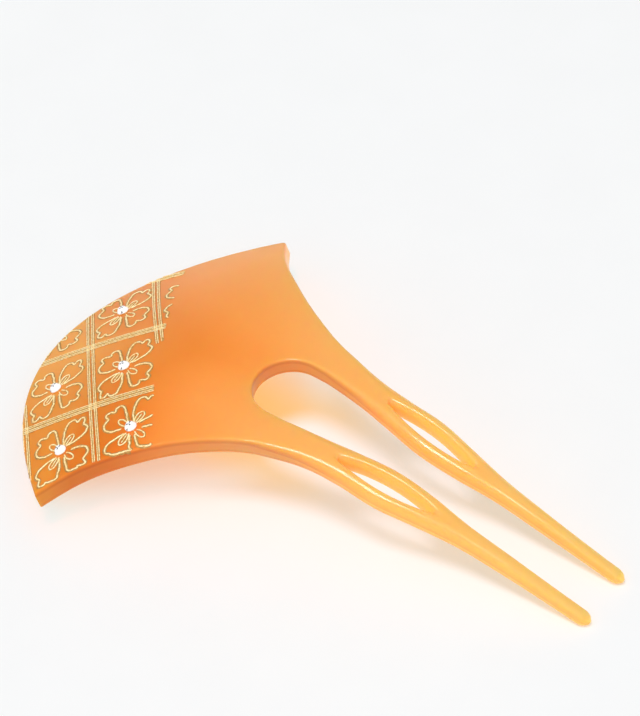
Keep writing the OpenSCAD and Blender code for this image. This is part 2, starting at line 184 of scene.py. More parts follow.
def top_height(at, across):
    """Height of the top face over the middle of the plate's thickness."""
    across = np.abs(across)
    reach, flat = edge_reach(at), straight(EDGES, 2, at)
    share = (rounding(from_dome(at, across), HEAD_EDGE) * rounding(from_outer(at, across), reach)
             * rounding(from_slot(at, across), reach) * rounding(from_eye(at, across), EYE_EDGE))
    return thickness(at) / 2 * (flat + (1 - flat) * share)


def rim_share(at, across):
    """Share of the painted shade line: 1 on the very edge of the head or a prong, 0 from a line's
    width inside it.
    """
    away = np.minimum(from_dome(at, across), from_outer(at, across))
    away = np.minimum(away, from_slot(at, across))
    return np.clip(1 - away / RIM_LINE, 0, 1)


# the bent middle line, added up from short straight steps
LINE_STEP = 1.0
steps = np.arange(int(PIN_L / LINE_STEP) + 1)
falls = np.radians(smooth(BEND, 1, (steps + 0.5) * LINE_STEP))
LINE_X = np.concatenate([[0], np.cumsum(LINE_STEP * np.cos(falls))])
LINE_Z = np.concatenate([[0], np.cumsum(-LINE_STEP * np.sin(falls))])


def bent(at, across, height):
    """A place of the plate after the bend along the pin and the bend across it."""
    lift = height - across ** 2 / (2 * CROSS_R)
    fall = np.radians(smooth(BEND, 1, at))
    stations = np.arange(len(LINE_X)) * LINE_STEP
    return np.stack([np.interp(at, stations, LINE_X) + lift * np.sin(fall),
                     across + 0 * lift,
                     np.interp(at, stations, LINE_Z) + lift * np.cos(fall)], -1)


def turned(points, angle):
    """Points after a turn about the line across the pin."""
    c, s = math.cos(angle), math.sin(angle)
    x, z = points[..., 0], points[..., 2]
    return np.stack([x * c - z * s, points[..., 1], x * s + z * c], -1)


# Rows and columns of the body

# mesh rows behind the dome edge, in front of the slot, and on both sides of an eye's end
DOME_ROWS = (0.6, 0.8, 1.2)
NECK_ROWS = (2.4, 1.9, 1.5, 1.15, 0.9, 0.7, 0.52, 0.36, 0.22, 0.12, 0.05)
EYE_ROWS = (0, 0.06, 0.15, 0.28, 0.45, 0.7, 1.0)
# numbers of even rows on the head, between slot and eye, along the eye, and behind it
HEAD_N, ARM_N, EYE_N, TIP_N = 44, 24, 40, 52
# where the slot begins, a row's outer end is this much further along than its inner end
OUTER_LEAD = 2
BEFORE_EYE, BEHIND_EYE, BEFORE_TIP = 1.4, 1.5, 0.4
# an arm's two strips part over this stretch, and the slot's wall gets close columns over this one
ARM_START, ARM_RUN = 62.0, 8.0
WALL_LEAD, WALL_RUN = 7, 6
# columns of one strip, how many of them lie close to a wall, and the widest reach of those
STRIP_N, NEAR_N, WIDEST = 19, 8, 0.47


def eased(reach, count):
    """Places close together at a wall: 0 to reach."""
    return reach * (1 - np.cos(np.linspace(0, math.pi / 2, count)))


def around_eye_end(end):
    return [end - distance for distance in EYE_ROWS[:0:-1]] + [end + distance for distance in EYE_ROWS]


def body_rows():
    """Every row has a start on the middle line or the slot's edge, and the outer edge's station."""
    dome = [*eased(HEAD_EDGE, 9), *DOME_ROWS]
    head = np.linspace(2, SLOT_START - 3, HEAD_N)
    neck = [SLOT_START - distance for distance in NECK_ROWS]
    pace = (SLOT_START + OUTER_LEAD - HORN_BACK) / SLOT_START
    rows = [((at, 0.0), HORN_BACK + pace * at) for at in (*dome, *head, *neck)]
    slot_row = len(rows)
    for angle in np.radians(np.concatenate([np.linspace(0, 12, 7), np.linspace(15, 90, 26)])):
        start = (SLOT_CENTRE - SLOT_R * math.cos(angle), SLOT_R * math.sin(angle))
        rows.append((start, SLOT_START + OUTER_LEAD + (SLOT_R + 0.5) * angle / (math.pi / 2)))
    prong = [*np.linspace(ARM_START, EYE_START - BEFORE_EYE, ARM_N), *around_eye_end(EYE_START),
             *np.linspace(EYE_START + BEFORE_EYE, EYE_END - BEFORE_EYE, EYE_N),
             *around_eye_end(EYE_END),
             *np.linspace(EYE_END + BEHIND_EYE, PIN_L - TIP_R - BEFORE_TIP, TIP_N)]
    prong += [PIN_L - TIP_R * math.cos(angle) for angle in np.radians(np.linspace(0, 75, 14))]
    rows += [((at, float(slot_edge(at))), at) for at in (*prong, PIN_L)]
    starts = np.array([start for start, _ in rows])
    ends = np.array([end for _, end in rows])
    first_eye = int(np.argmin(np.abs(starts[:, 0] - EYE_START)))
    last_eye = int(np.argmin(np.abs(starts[:, 0] - EYE_END)))
    return starts, ends, slot_row, first_eye, last_eye


def strip(width, reach_a, reach_b, wall_a, wall_b):
    """Shares across a strip, close together next to its walls."""
    even = np.linspace(0, 1, STRIP_N)
    a = eased(min(reach_a, WIDEST * width), NEAR_N) / width
    b = 1 - eased(min(reach_b, WIDEST * width), NEAR_N)[::-1] / width
    inner = np.linspace(a[-1], b[0], STRIP_N - 2 * NEAR_N + 2)[1:-1]
    close = np.concatenate([a, inner, b])
    lead = np.interp(even, [0, 0.5, 1], [wall_a, (wall_a + wall_b) / 2, wall_b])
    return even * (1 - lead) + close * lead


def row_shares(number, start, end, slot_row, eyes):
    """Shares across one row: a strip on each side of the eye, or of the prong's middle."""
    width = np.hypot(*(end - start))
    opening = float(eye_opening(end[0])) / width if eyes[0] <= number <= eyes[1] else 0.0
    on_prong = np.clip((start[0] - ARM_START) / ARM_RUN, 0, 1)
    middle = (float(prong_middle(end[0])) - start[1]) / width if number >= slot_row else 0.5
    middle = 0.5 * (1 - on_prong) + middle * on_prong
    reach = float(edge_reach(np.array(end[0])))
    slot_wall = np.clip((start[0] - SLOT_START + WALL_LEAD) / WALL_RUN, 0, 1)
    inner_end, outer_start = middle - opening, middle + opening
    inner = strip(inner_end * width, reach, EYE_EDGE, slot_wall, on_prong)
    outer = strip((1 - outer_start) * width, EYE_EDGE, reach, on_prong, 1.0)
    return np.concatenate([inner_end * inner, outer_start + (1 - outer_start) * outer])


def build_body_grid():
    """Station and distance across of every row and column of one half of the plate."""
    starts, ends, slot_row, *eyes = body_rows()
    plan = []
    for number, (start, end_at) in enumerate(zip(starts, ends)):
        end = np.array([end_at, float(outer_edge(end_at))])
        share = row_shares(number, start, end, slot_row, eyes)
        # a row of the head is a parabola like the dome edge
        curve = max(0.0, 1 - start[0] / SLOT_START)
        at = start[0] + (end[0] - start[0]) * ((1 - curve) * share + curve * share ** 2)
        plan.append(np.stack([at, start[1] + (end[1] - start[1]) * share], -1))
    return np.array(plan), slot_row, *eyes


PLAN, SLOT_ROW, EYE_A, EYE_B = build_body_grid()
HEIGHT = top_height(PLAN[..., 0], PLAN[..., 1])


def lay_angle(points):
    """The turn that brings the head and the tips down to one level."""
    head = points[points[:, 0] < PIN_L / 2]
    tips = points[points[:, 0] >= PIN_L / 2]
    angle = 0.0
    for _ in range(6):
        gap = turned(head, angle)[:, 2].min() - turned(tips, angle)[:, 2].min()
        angle += math.asin(gap / (REST_SPAN * PIN_L))
    return angle


RAW = bent(PLAN[..., 0], PLAN[..., 1], -HEIGHT).reshape(-1, 3)
LAY = lay_angle(RAW)
resting = turned(RAW, LAY)
whole = turned(np.concatenate([RAW, bent(PLAN[..., 0], PLAN[..., 1], HEIGHT).reshape(-1, 3)]), LAY)
LAID_AT = np.array([(whole[:, 0].min() + whole[:, 0].max()) / 2, 0, resting[:, 2].min()])


def placed(at, across, height):
    """A place of the plate in the finished pin, in metres."""
    at, across, height = np.broadcast_arrays(np.asarray(at, float), across, height)
    return (turned(bent(at, across, height), LAY) - LAID_AT) * MM


# Meshes

def add_piece(name, points, faces, materials, node_slot, nodes=(), kinds=None, smooth_faces=True):
    """One piece. kinds holds the number of each face's material."""
    mesh = bpy.data.meshes.new(name)
    mesh.from_pydata([tuple(map(float, point)) for point in points], [],
                     [tuple(map(int, face)) for face in faces])
    for material in materials:
        mesh.materials.append(material)
    if kinds:
        mesh.polygons.foreach_set("material_index", kinds)
    mesh.validate()
    bm = bmesh.new()
    bm.from_mesh(mesh)
    bmesh.ops.recalc_face_normals(bm, faces=bm.faces)
    bm.to_mesh(mesh)
    bm.free()
    mesh.polygons.foreach_set("use_smooth", [smooth_faces] * len(mesh.polygons))
    obj = bpy.data.objects.new(name, mesh)
    bpy.context.scene.collection.objects.link(obj)
    if nodes:
        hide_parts(*nodes)
    if node_slot:
        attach(obj, "root")
    # light that crosses the resin isn't stopped by the thin print and the stones on it
    obj.visible_shadow = node_slot not in ("gold", "clear_stone")
    return obj


# rows of faces down a wall of the body
WALL_STEPS = 5


def make_body(material):
    """Both halves, top and bottom faces, and walls at every edge."""
    rows, columns = PLAN.shape[:2]
    strip_n = columns // 2
    points, faces, number, rims = [], [], {}, []
    # share of the painted shade line along the edges, kept on the top and bottom faces
    rim = rim_share(PLAN[..., 0], PLAN[..., 1])
    shares = 1 - 2 * np.arange(WALL_STEPS + 1) / WALL_STEPS
    spots = [placed(PLAN[..., 0, None], sign * PLAN[..., 1, None], HEIGHT[..., None] * shares)
             for sign in (1, -1)]

    def corner(side, row, column, level):
        """Number of a point. Level 0 is the top face, WALL_STEPS the bottom face."""
        if column == 0 and row <= SLOT_ROW:
            side = 0
        if column == strip_n and (row <= EYE_A or row >= EYE_B):
            column = strip_n - 1
        key = (side, row, column, level)
        if key not in number:
            number[key] = len(points)
            points.append(spots[side][row, column, level])
            rims.append(float(rim[row, column]) if level in (0, WALL_STEPS) else 0.0)
        return number[key]

    def face(*corners):
        loop = list(dict.fromkeys(corners))
        if len(loop) > 2:
            faces.append(loop)

    def wall(side, places):
        for (r0, c0), (r1, c1) in zip(places, places[1:]):
            for level in range(WALL_STEPS):
                face(corner(side, r0, c0, level), corner(side, r1, c1, level),
                     corner(side, r1, c1, level + 1), corner(side, r0, c0, level + 1))

    for side in (0, 1):
        for level in (0, WALL_STEPS):
            for r in range(rows - 1):
                for c in range(columns - 1):
                    if c != strip_n - 1:
                        face(corner(side, r, c, level), corner(side, r + 1, c, level),
                             corner(side, r + 1, c + 1, level), corner(side, r, c + 1, level))
        wall(side, [(0, c) for c in range(columns) if c != strip_n])
        wall(side, [(rows - 1, c) for c in range(columns) if c != strip_n])
        wall(side, [(r, columns - 1) for r in range(rows)])
        wall(side, [(r, 0) for r in range(SLOT_ROW, rows)])
        wall(side, [(r, strip_n - 1) for r in range(EYE_A, EYE_B + 1)])
        wall(side, [(r, strip_n) for r in range(EYE_A, EYE_B + 1)])
    body = add_piece("amber_body", points, faces, [material], "amber_resin", ["body"])
    edge = body.data.attributes.new("rim", "FLOAT", "POINT")
    edge.data.foreach_set("value", rims)


# Gold ornament

# the print stays this far inside the edges
PRINT_MARGIN = 0.2
# petals that come nearer to the outer edge than this are squeezed inwards
SQUEEZE_FROM, SQUEEZED_TO = 1.6, 0.35
# the print ends at two straight lines: station and across of their ends
PRINT_END = [(43.5, -22.5), (27, 0.9), (26.5, 3), (12.5, 25)]
# name, then station and across of both ends and of a place half way
BANDS = {
    "V0": [(6.7, -20.4), (15.5, -29.7), (24, -39.1)],
    "V1": [(0, 8.5), (17.5, -10), (36.5, -31.4)],
    "V2": [(7, 21.6), (17, 11.3), (27.5, 0.5)],
    "H1": [(12, -26.9), (25.6, -18.3), (37, -10.1)],
    "H2": [(0.6, -9.4), (12.5, -2.1), (25.5, 5.9)],
    "H3": [(6, 19.6), (9.7, 22), (13.5, 24.4)],
}
BAND_W = 1.05
# station and across of the flowers, the five with a stone first
FLOWERS = [(26, -30), (12.3, -15.4), (37.7, -21.5), (24.9, -7.7), (10, 8.6), (-2.2, 0.1), (22.3, 16.6)]
STONES = 5
# degrees by which a flower's long and broad petals are turned
LONG_TURN, BROAD_TURN = 94, -15
# outline of a petal: offset from its middle line, distance from the flower's centre
LONG_PETAL = [
    (-0.7, 1.6), (-2.1, 3.6), (-2.6, 5.0), (-2.4, 6.2), (-1.7, 6.75), (-0.95, 6.95), (-0.55, 8.0),
    (0.1, 8.6), (0.75, 8.25), (0.85, 7.35), (1.4, 7.65), (2.1, 7.75), (2.75, 7.2), (2.8, 6.3),
    (2.5, 5.0), (1.9, 3.6), (1.1, 2.4), (0.6, 1.6)]
BROAD_PETAL = [
    (-0.6, 1.8), (-1.6, 3.6), (-2.6, 5.6), (-2.75, 6.4), (-2.3, 7.0), (-1.5, 7.05), (-0.85, 6.5),
    (-0.35, 7.3), (0.3, 7.6), (0.95, 7.25), (1.15, 6.25), (1.9, 6.0), (2.7, 5.65), (3.2, 4.9),
    (3.3, 4.1), (2.8, 2.9), (1.9, 2.1), (1.2, 1.7)]
# outline of the small loop inside a petal, in the same two columns
LONG_LOOP = [
    (-0.3, 1.3), (-0.62, 2.2), (-0.75, 3.2), (-0.55, 3.9), (0, 4.3), (0.55, 3.9), (0.75, 3.2),
    (0.62, 2.2), (0.3, 1.3)]
BROAD_LOOP = [
    (-0.15, 1.25), (-0.4, 2.0), (-0.5, 2.8), (-0.4, 3.4), (-0.15, 3.8), (0.1, 3.95), (0.35, 3.8),
    (0.6, 3.4), (0.7, 2.8), (0.6, 2.0), (0.35, 1.25)]


def left_of(p, a, b):
    return (b[0] - a[0]) * (p[1] - a[1]) - (b[1] - a[1]) * (p[0] - a[0]) > 0


def printed(path):
    """Which points of a path are inside the head's edge, and on the printed part?"""
    path = np.asarray(path, float).T
    inside = from_dome(*path) > PRINT_MARGIN
    inside &= from_outer(path[0], np.abs(path[1])) > PRINT_MARGIN
    before = np.where(path[1] < PRINT_END[1][1], left_of(path, *PRINT_END[:2]),
                      left_of(path, *PRINT_END[2:]))
    return inside & before


def band_centre(name):
    """A band's middle line, a parabola through its three places."""
    a, b, c = (np.array(spot, float) for spot in BANDS[name])
    t = np.linspace(0, 1, 80)[:, None]
    return a * (1 - t) * (1 - 2 * t) + b * 4 * t * (1 - t) + c * t * (2 * t - 1)


def normals_of(path):
    """Directions to the left of a path, one unit long."""
    way = np.gradient(path, axis=0)
    way /= np.linalg.norm(way, axis=1, keepdims=True) + 1e-12
    return np.stack([-way[:, 1], way[:, 0]], -1)


def shifted(path, shift):
    return path + normals_of(path) * shift


BAND_PATHS = {name: band_centre(name) for name in BANDS}
# flowers end at this distance from a band's middle line
BAND_CLEAR = BAND_W / 2 + 0.5


def clear_of_bands(path):
    lines = np.concatenate(list(BAND_PATHS.values()))
    gaps = np.linalg.norm(np.asarray(path)[:, None] - lines, axis=-1)
    return gaps.min(axis=1) > BAND_CLEAR


def kept(path):
    """The stretches of a path that are on the print and clear of the bands."""
    return stretches(path, printed(path) & clear_of_bands(path))


def resample(path, step):
    """The same path with points at even steps."""
    path = np.asarray(path, float)
    length = np.concatenate([[0], np.cumsum(np.hypot(*np.diff(path, axis=0).T))])
    count = max(2, int(round(length[-1] / step)) + 1)
    at = np.linspace(0, length[-1], count)
    return np.stack([np.interp(at, length, path[:, k]) for k in (0, 1)], -1)


def curved(path):
    """A smooth line through all the points of a path."""
    count = 6
    path = np.asarray(path, float)
    whole = np.concatenate([[2 * path[0] - path[1]], path, [2 * path[-1] - path[-2]]])
    a, b, c, d = (whole[i:len(whole) - 3 + i, None] for i in range(4))
    t = (np.arange(count) / count)[:, None]
    line = 0.5 * (2 * b + (c - a) * t + (2 * a - 5 * b + 4 * c - d) * t ** 2
                  + (3 * b - a - 3 * c + d) * t ** 3)
    return np.concatenate([line.reshape(-1, 2), path[-1:]])


def squeezed(path):
    """A line that would cross the outer edge is pressed together in front of it."""
    at, across = path[:, 0], np.abs(path[:, 1])
    gap = from_outer(at, across)
    room = SQUEEZE_FROM - SQUEEZED_TO
    nearer = SQUEEZED_TO + room * np.exp(np.minimum(0, gap - SQUEEZE_FROM) / room)
    move = np.where(gap < SQUEEZE_FROM, (nearer - gap) * outer_slant(at), 0)
    return np.stack([at, np.sign(path[:, 1]) * (across - move)], -1)


def stretches(path, keep):
    """Runs of points that are all kept."""
    out, run = [], []
    for point, stays in zip(path, keep):
        if stays:
            run.append(point)
            continue
        if len(run) > 2:
            out.append(np.array(run))
        run = []
    if len(run) > 2:
        out.append(np.array(run))
    return out


# gap between the resin and what stands on it
SEAT = 0.02
# section of a thread: across as a share of its half width, height as a share of the relief
SECTION = [(-1, 0), (-0.8, 0.7), (-0.35, 1), (0.35, 1), (0.8, 0.7), (1, 0)]
# kinds of face: the bright thread, and the darker ground whose edges beside it are painted shadow
BRIGHT, GROUND_AND_SHADOW = 0, 1
# a thread drifts and swells at every so many of its points, the second by this share of its width
DRIFT_EVERY, SWELL_EVERY, SWELLING = 3, 2, 0.16
# its ends start at this share of the full section and reach it within so many points
END_SHARE, END_POINTS = 0.35, 1.5
# distances between points of the paths, of usual threads, of the finest ones and of the ground
PATH_STEP, THREAD_STEP, FINE_STEP, GROUND_STEP = 0.12, 0.2, 0.16, 0.3
THREAD_RELIEF, STAMEN_RELIEF, GROUND_RELIEF = 0.13, 0.1, 0.03
THREAD_WOBBLE, PETAL_WOBBLE, GROUND_WOBBLE = 0.025, 0.085, 0.01


class Relief:
    """Raised threads and the thin darker ground under them, partly painted shadow, gathered for one
    mesh.
    """

    def __init__(self, seed):
        self.points, self.faces, self.kinds = [], [], []
        self.random = random.Random(seed)

    def ground_and_shadow(self, path, width):
        """A thin darker layer, a little wider than the threads that stand on it, so that its edges
        beside them are painted shadow.
        """
        self.thread(path, width, GROUND_RELIEF, GROUND_STEP, GROUND_WOBBLE, GROUND_AND_SHADOW)

    def noise(self, count, every):
        """Random values from -1 to 1, drawn for every so many points and joined by lines."""
        drawn = [self.random.uniform(-1, 1) for _ in range(count // every + 2)]
        return np.interp(np.arange(count) / every, range(len(drawn)), drawn)

    def thread(self, path, width, relief=THREAD_RELIEF, step=THREAD_STEP, wobble=THREAD_WOBBLE,
               kind=BRIGHT):
        path = resample(path, step)
        count = len(path)
        if count < 3:
            return
        sideways = normals_of(path)
        path = path + sideways * (self.noise(count, DRIFT_EVERY) * wobble)[:, None]
        fat = 1 + SWELLING * self.noise(count, SWELL_EVERY)
        at = np.arange(count)
        ends = np.clip(np.minimum(at, count - 1 - at) / END_POINTS + END_SHARE, 0, 1)
        half = width / 2 * fat * ends
        share, up = np.array(SECTION).T
        spots = path[:, None] + sideways[:, None] * (half[:, None] * share)[..., None]
        seat = top_height(spots[..., 0], spots[..., 1]) + SEAT
        lifted = placed(spots[..., 0], spots[..., 1], seat + relief * up * ends[:, None])
        self.add_tube(lifted, kind)

    def add_tube(self, rings, kind):
        """Faces between rings of points, closed at both ends."""
        base, corners = len(self.points), len(SECTION)
        last = base + (len(rings) - 1) * corners
        first_face = len(self.faces)
        self.points.extend(rings.reshape(-1, 3))
        for start in range(base, last, corners):
            for k in range(corners):
                a, b = start + k, start + (k + 1) % corners
                self.faces.append((a, b, b + corners, a + corners))
        self.faces.append(tuple(range(base, base + corners)))
        self.faces.append(tuple(reversed(range(last, last + corners))))
        self.kinds.extend([kind] * (len(self.faces) - first_face))

    def add_to_scene(self, name, node):
        add_piece(name, self.points, self.faces, [GOLD, GOLD_GROUND_AND_SHADOW], "gold", [node], self.kinds)


def petal_line(centre, turn, outline):
    """An outline of a petal or a loop, turned and moved to its flower."""
    along = np.array([math.cos(turn), math.sin(turn)])
    across = np.array([-along[1], along[0]])
    line = [np.array(centre) + across * offset + along * distance for offset, distance in outline]
    return resample(squeezed(curved(line)), PATH_STEP)


# widths of the darker ground, whose edges are painted shadow, and of the thread on it
PETAL_GROUND_W, PETAL_W = 0.85, 0.33
LOOP_GROUND_W, LOOP_W = 0.5, 0.28
STAMEN_GROUND_W, STAMEN_W = 0.7, 0.22
# distances of a stamen's ends from the flower's centre
STAMEN = (1.5, 3.7)


def add_flower(relief, centre):
    for half_turn in (0, 180):
        long_way = math.radians(LONG_TURN + half_turn)
        broad_way = math.radians(BROAD_TURN + half_turn)
        for turn, petal, loop in ((long_way, LONG_PETAL, LONG_LOOP),
                                  (broad_way, BROAD_PETAL, BROAD_LOOP)):
            for run in kept(petal_line(centre, turn, petal)):
                relief.ground_and_shadow(run, PETAL_GROUND_W)
                relief.thread(run, PETAL_W, wobble=PETAL_WOBBLE)
            for run in kept(petal_line(centre, turn, loop)):
                relief.ground_and_shadow(run, LOOP_GROUND_W)
                relief.thread(run, LOOP_W, step=FINE_STEP)
        way = np.array([math.cos(long_way), math.sin(long_way)])
        stamen = resample([np.array(centre) + way * distance for distance in STAMEN], PATH_STEP)
        for run in kept(stamen):
            relief.ground_and_shadow(run, STAMEN_GROUND_W)
            relief.thread(run, STAMEN_W, STAMEN_RELIEF, FINE_STEP)


# threads of one rail of a band that crosses the pin, and of a whole band that runs along it:
# places across, width, and the width of the darker ground, partly painted shadow, under one rail or
# under the whole band
RAIL_THREADS, RAIL_THREAD_W, RAIL_GROUND_W = (-0.19, 0.19), 0.2, 0.8
ALONG_THREADS, ALONG_THREAD_W, ALONG_GROUND_W = (-0.8, -0.34, 0.3, 0.8), 0.15, 1.95


def add_band(relief, name):
    centre = BAND_PATHS[name]
    if name.startswith("V"):
        lines = [shifted(centre, side * BAND_W / 2) for side in (-1, 1)]
        places, width, ground_and_shadow = RAIL_THREADS, RAIL_THREAD_W, RAIL_GROUND_W
    else:
        lines = [centre]
        places, width, ground_and_shadow = ALONG_THREADS, ALONG_THREAD_W, ALONG_GROUND_W
    for line in lines:
        line = resample(line, PATH_STEP)
        for run in stretches(line, printed(line)):
            relief.ground_and_shadow(run, ground_and_shadow)
        for place in places:
            path = shifted(line, place)
            for run in stretches(path, printed(path)):
                relief.thread(run, width)


# Stones

# radius and height of a stone, and radius of its table
STONE_R, STONE_H, TABLE_R = 1.2, 1.3, 0.6
# radius of the back as a share of the stone's, reach of the star facets, and heights of the rings
BACK_SHARE, STAR_REACH = 0.94, 0.5
STAR_SHARE, GIRDLE_SHARE, FOOT_SHARE = 0.78, 0.42, 0.3
# gap under a stone, over the seat of the print, and turn from one stone to the next in degrees
STONE_LIFT, STONE_TURN = 0.02, 17
WHITE, FOILED, SHADED = 0, 1, 2
# numbers of the facets that carry a painted dark reflection
DARK_WEDGES, DARK_STARS, DARK_GIRDLE = (1, 4, 6), (2,), (5,)


def stone_frame(at, across):
    """Foot of a stone, and the directions along, across and up from the head there."""
    seat = float(top_height(at, across)) + SEAT + STONE_LIFT
    step = 0.5
    foot = Vector(placed(at, across, seat))
    along = Vector(placed(at + step, across, seat)) - Vector(placed(at - step, across, seat))
    side = Vector(placed(at, across + step, seat)) - Vector(placed(at, across - step, seat))
    up = along.cross(side).normalized()
    along = (along - up * along.dot(up)).normalized()
    return foot, along, up.cross(along), up


def add_stone(name, centre, turn):
    """A round stone with a table, eight star facets, sixteen girdle facets and a flat back."""
    base, along, side, up = stone_frame(*centre)
    points, faces, kinds = [], [], []

    def ring(count, radius, share, phase=0.0):
        first = len(points)
        for i in range(count):
            angle = math.radians(turn) + 2 * math.pi * (i + phase) / count
            outward = along * math.cos(angle) * radius + side * math.sin(angle) * radius
            points.append(base + (outward + up * share * STONE_H) * MM)
        return range(first, first + count)

    table = ring(8, TABLE_R, 1)
    stars = ring(8, TABLE_R + (STONE_R - TABLE_R) * STAR_REACH, STAR_SHARE, 0.5)
    girdle = ring(16, STONE_R, GIRDLE_SHARE)
    foot = ring(16, STONE_R, FOOT_SHARE)
    back = ring(16, STONE_R * BACK_SHARE, 0)
    points.extend([base, base + up * STONE_H * MM])
    under, top = len(points) - 2, len(points) - 1

    def facet(kind, *corners):
        faces.append(corners)
        kinds.append(kind)

    def shade(i, dark):
        return SHADED if i in dark else WHITE

    for i in range(8):
        j, g = (i + 1) % 8, 2 * i
        facet(shade(i, DARK_WEDGES), top, table[i], table[j])
        facet(shade(i, DARK_STARS), table[i], stars[i], table[j])
        facet(WHITE, table[i], stars[i - 1], girdle[g], stars[i])
        facet(shade(i, DARK_GIRDLE), stars[i], girdle[g], girdle[g + 1])
        facet(WHITE, stars[i], girdle[g + 1], girdle[(g + 2) % 16])
    for i in range(16):
        j = (i + 1) % 16
        facet(WHITE, girdle[i], foot[i], foot[j], girdle[j])
        facet(FOILED, foot[i], back[i], back[j], foot[j])
        facet(FOILED, back[i], under, back[j])
    add_piece(name, points, faces, [STONE, FOIL, SHADE], "clear_stone", [name], kinds, False)


# Materials

# sockets of a colour mix: share, first colour, second colour, and the result
MIX_INPUTS, MIX_RESULT = (0, 6, 7), 2


class Tree:
    """Shortens the making of a node tree. A value is a number, a colour or a node's output."""

    def __init__(self, name):
        self.material = bpy.data.materials.new(name)
        self.material.use_nodes = True
        self.nodes = self.material.node_tree.nodes
        self.shader = self.nodes["Principled BSDF"]
        self.place = self.nodes.new("ShaderNodeTexCoord")

    def put(self, value, socket):
        if isinstance(value, bpy.types.NodeSocket):
            self.material.node_tree.links.new(value, socket)
        elif isinstance(value, tuple):
            socket.default_value = (*value, 1)
        else:
            socket.default_value = value

    def node(self, kind, settings=None, **sockets):
        made = self.nodes.new(kind)
        for key, value in (settings or {}).items():
            setattr(made, key, value)
        for key, value in sockets.items():
            self.put(value, made.inputs[key.replace("_", " ")])
        return made

    def parts(self, coordinates):
        """The three parts of a place or a direction."""
        return self.node("ShaderNodeSeparateXYZ", Vector=self.place.outputs[coordinates]).outputs

    def noise(self, **sockets):
        place = self.place.outputs["Object"]
        return self.node("ShaderNodeTexNoise", Vector=place, **sockets).outputs["Fac"]

    def maths(self, operation, *values):
        made = self.node("ShaderNodeMath", {"operation": operation})
        for value, socket in zip(values, made.inputs):
            self.put(value, socket)
        return made.outputs["Value"]

    def fade(self, value, span, low=0.0, high=1.0, kind="LINEAR"):
        """Goes from low to high while the value goes through the span."""
        made = self.node("ShaderNodeMapRange", {"interpolation_type": kind}, Value=value,
                         From_Min=span[0], From_Max=span[1], To_Min=low, To_Max=high)
        return made.outputs["Result"]

    def mixed(self, share, first, second, blend="MIX"):
        made = self.node("ShaderNodeMix", {"data_type": "RGBA", "blend_type": blend})
        for value, number in zip((share, first, second), MIX_INPUTS):
            self.put(value, made.inputs[number])
        return made.outputs[MIX_RESULT]

    def ramp(self, value, stops):
        made = self.node("ShaderNodeValToRGB", Fac=value)
        elements = made.color_ramp.elements
        while len(elements) < len(stops):
            elements.new(0.5)
        for element, (position, colour) in zip(elements, stops):
            element.position = position
            element.color = (*colour, 1)
        return made.outputs["Color"]

    def bump(self, value, strength, distance):
        made = self.node("ShaderNodeBump", Strength=strength, Distance=distance, Height=value)
        self.put(made.outputs["Normal"], self.shader.inputs["Normal"])

    def set(self, **values):
        """The same value all over the surface, on the shader's own sockets."""
        for key, value in values.items():
            self.shader.inputs[key.replace("_", " ")].default_value = value

    def paint(self, **outputs):
        """What changes over the surface."""
        for key, output in outputs.items():
            self.put(output, self.shader.inputs[key.replace("_", " ")])


# place along the pin, from the dome edge to the tips, and the colour there: the resin's own tone with
# painted shade on the raised head, painted light in the thin prongs and painted sheen at the dome edge
AMBER_TONES_AND_LIGHT = [
    (0.0, (0.86, 0.38, 0.065)), (0.08, (0.80, 0.28, 0.035)), (0.2, (0.83, 0.27, 0.03)),
    (0.34, (0.95, 0.345, 0.066)), (0.5, (0.98, 0.44, 0.115)), (0.7, (0.98, 0.50, 0.125)),
    (1.0, (0.98, 0.53, 0.15))]
# Stretches of the pin where the resin's tone, its painted light and shade, and the light through it
# change: places in metres, from start to end.
# Names with X are along the pin, names with Y across it.
TONES_X = (-0.047, 0.08)
FAR_SIDE_Y, NEAR_ARM_Y, PAST_PRINT_X = (0.0, 0.034), (0.003, -0.011), (-0.042, -0.02)
NEAR_SIDE_Y, NEAR_HEAD_X = (-0.006, -0.026), (-0.03, -0.004)
HEAD_WALLS_X, PRONG_WALLS_X, HORN_WALL_Y = (-0.004, 0.012), (0.002, 0.02), (0.024, 0.032)
NECK_X, BY_SLOT_Y, PAST_SLOT_X = (-0.022, -0.006), (0.016, 0.004), (-0.007, 0.006)
# how far clouds, the painted sheen of the far side and the painted light of the near arm shift the
# colour along the pin, in metres
CLOUD_SHIFT, FAR_SHEEN_SHIFT, NEAR_LIGHT_SHIFT = 0.014, 0.054, 0.018
# painted shade on the head's walls, on its near side and along all edges, and the painted glow of the
# prongs' walls
WALL_SHADE_TINT, NEAR_SHADE_TINT, RIM_SHADE_TINT = (0.83, 0.92, 1.0), (0.93, 0.79, 0.5), (0.84, 0.69, 0.67)
WALL_GLOW = 0.3
# upward part of the direction of a full wall and of a full top face
WALL_FACING = (0.35, 0.85)
# light that comes through at the head's sides, around the slot, and at the prongs
SIDE_LIGHT, SLOT_LIGHT, PRONG_LIGHT = (0.82, 0.98, 1.0), (0.87, 0.68, 0.26), (0.735, 0.73, 0.66)
# the light of the head's sides ends where the distance from the middle line, plus this share of
# the place along the pin, goes through this stretch
SIDE_SLOPE, SIDE_INWARD = 0.65, (0.0146, -0.0014)


